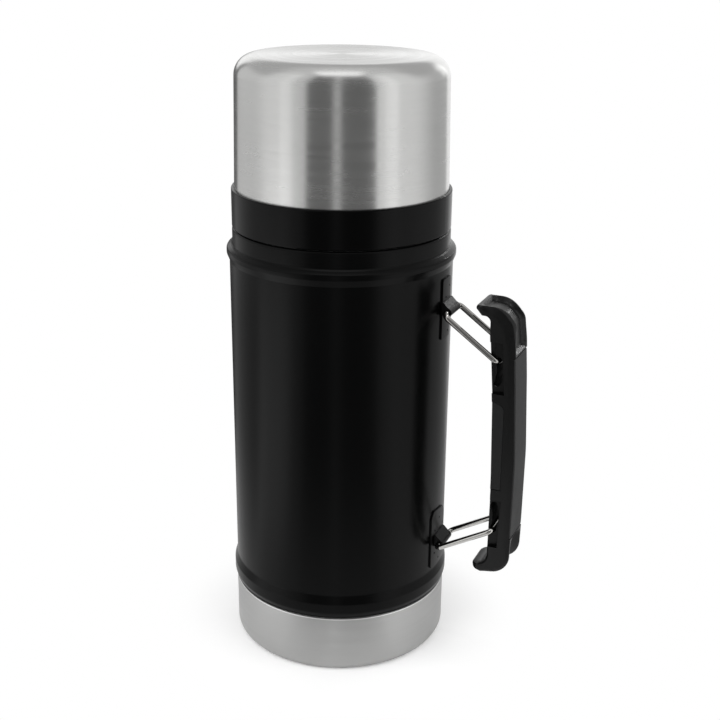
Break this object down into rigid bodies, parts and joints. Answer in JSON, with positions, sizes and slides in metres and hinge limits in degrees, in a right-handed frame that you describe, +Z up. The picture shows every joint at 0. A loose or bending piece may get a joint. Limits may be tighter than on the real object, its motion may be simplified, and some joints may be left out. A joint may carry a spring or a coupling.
{
  "type": "insulated food jar",
  "caption": "Insulated food jar: painted steel vacuum jar with a brushed steel screw-on bowl lid, inner stopper and a folding side handle on wire bails.",
  "frame": {"origin": "on the jar's axis, in the plane that the base stands on", "axes": "+Z up along the jar's axis, +X out through the side handle"},
  "size_m": [0.1421, 0.1046, 0.2786],
  "materials": {
    "black_paint": "satin",
    "brushed_steel": "brushed",
    "inner_steel": "satin",
    "wire_steel": "polished",
    "ring_plastic": "satin",
    "grip_plastic": "satin",
    "grip_rubber": "matte",
    "silicone": "matte",
    "foam": "matte",
    "copper_foil": "polished"
  },
  "bodies": {
    "vessel": {"outer_shell": "black_paint", "neck_ring": "inner_steel", "inner_vessel": "inner_steel", "jacket_base": "inner_steel", "vacuum_plug": "inner_steel", "getter": "inner_steel", "radiation_foil": "copper_foil", "base_cup": "brushed_steel", "upper_bracket": "black_paint", "lower_bracket": "black_paint"},
    "lid_gasket": {"lid_seal": "silicone"},
    "lid": {"lid_shell": "brushed_steel", "lid_liner": "inner_steel", "lid_ring": "ring_plastic"},
    "stopper_seal": {"stopper_gasket": "silicone"},
    "stopper": {"stopper_body": "ring_plastic", "stopper_foam": "foam", "stopper_cap": "ring_plastic"},
    "grip": {"grip_frame": "grip_plastic", "grip_pad": "grip_rubber", "grip_cover": "grip_plastic"},
    "upper_bail_wire": {"upper_bail": "wire_steel"},
    "lower_bail_wire": {"lower_bail": "wire_steel"}
  },
  "joints": [
    {"name": "lid_lift", "type": "slide", "parent": "vessel", "child": "lid_gasket", "axis": [0, 0, 1], "range_m": [0, 0.0241]},
    {"name": "lid_turn", "type": "hinge", "parent": "lid_gasket", "child": "lid", "pos_m": [0, 0, 0.21], "axis": [0, 0, 1], "range_deg": [0, 1080]},
    {"name": "stopper_lift", "type": "slide", "parent": "vessel", "child": "stopper_seal", "axis": [0, 0, 1], "range_m": [0, 0.0241]},
    {"name": "stopper_turn", "type": "hinge", "parent": "stopper_seal", "child": "stopper", "pos_m": [0, 0, 0.22], "axis": [0, 0, 1], "range_deg": [0, 1080]},
    {"name": "grip_slide", "type": "slide", "parent": "vessel", "child": "grip", "axis": [-1, 0, 0], "range_m": [0, 0.0136]},
    {"name": "upper_bail_hinge", "type": "hinge", "parent": "vessel", "child": "upper_bail_wire", "pos_m": [0.054, 0, 0.1698], "axis": [0, 1, 0], "range_deg": [0, 32.4]},
    {"name": "lower_bail_hinge", "type": "hinge", "parent": "vessel", "child": "lower_bail_wire", "pos_m": [0.054, 0, 0.0541], "axis": [0, -1, 0], "range_deg": [0, 35.6]}
  ],
  "couplings": [
    {"joint": "lid_lift", "follows": "lid_turn", "m_per_rad": 0.0012732},
    {"joint": "stopper_lift", "follows": "stopper_turn", "m_per_rad": 0.0012732},
    {"joint": "upper_bail_hinge", "follows": "grip_slide", "rad_per_m": 41.547},
    {"joint": "lower_bail_hinge", "follows": "grip_slide", "rad_per_m": 45.584}
  ]
}
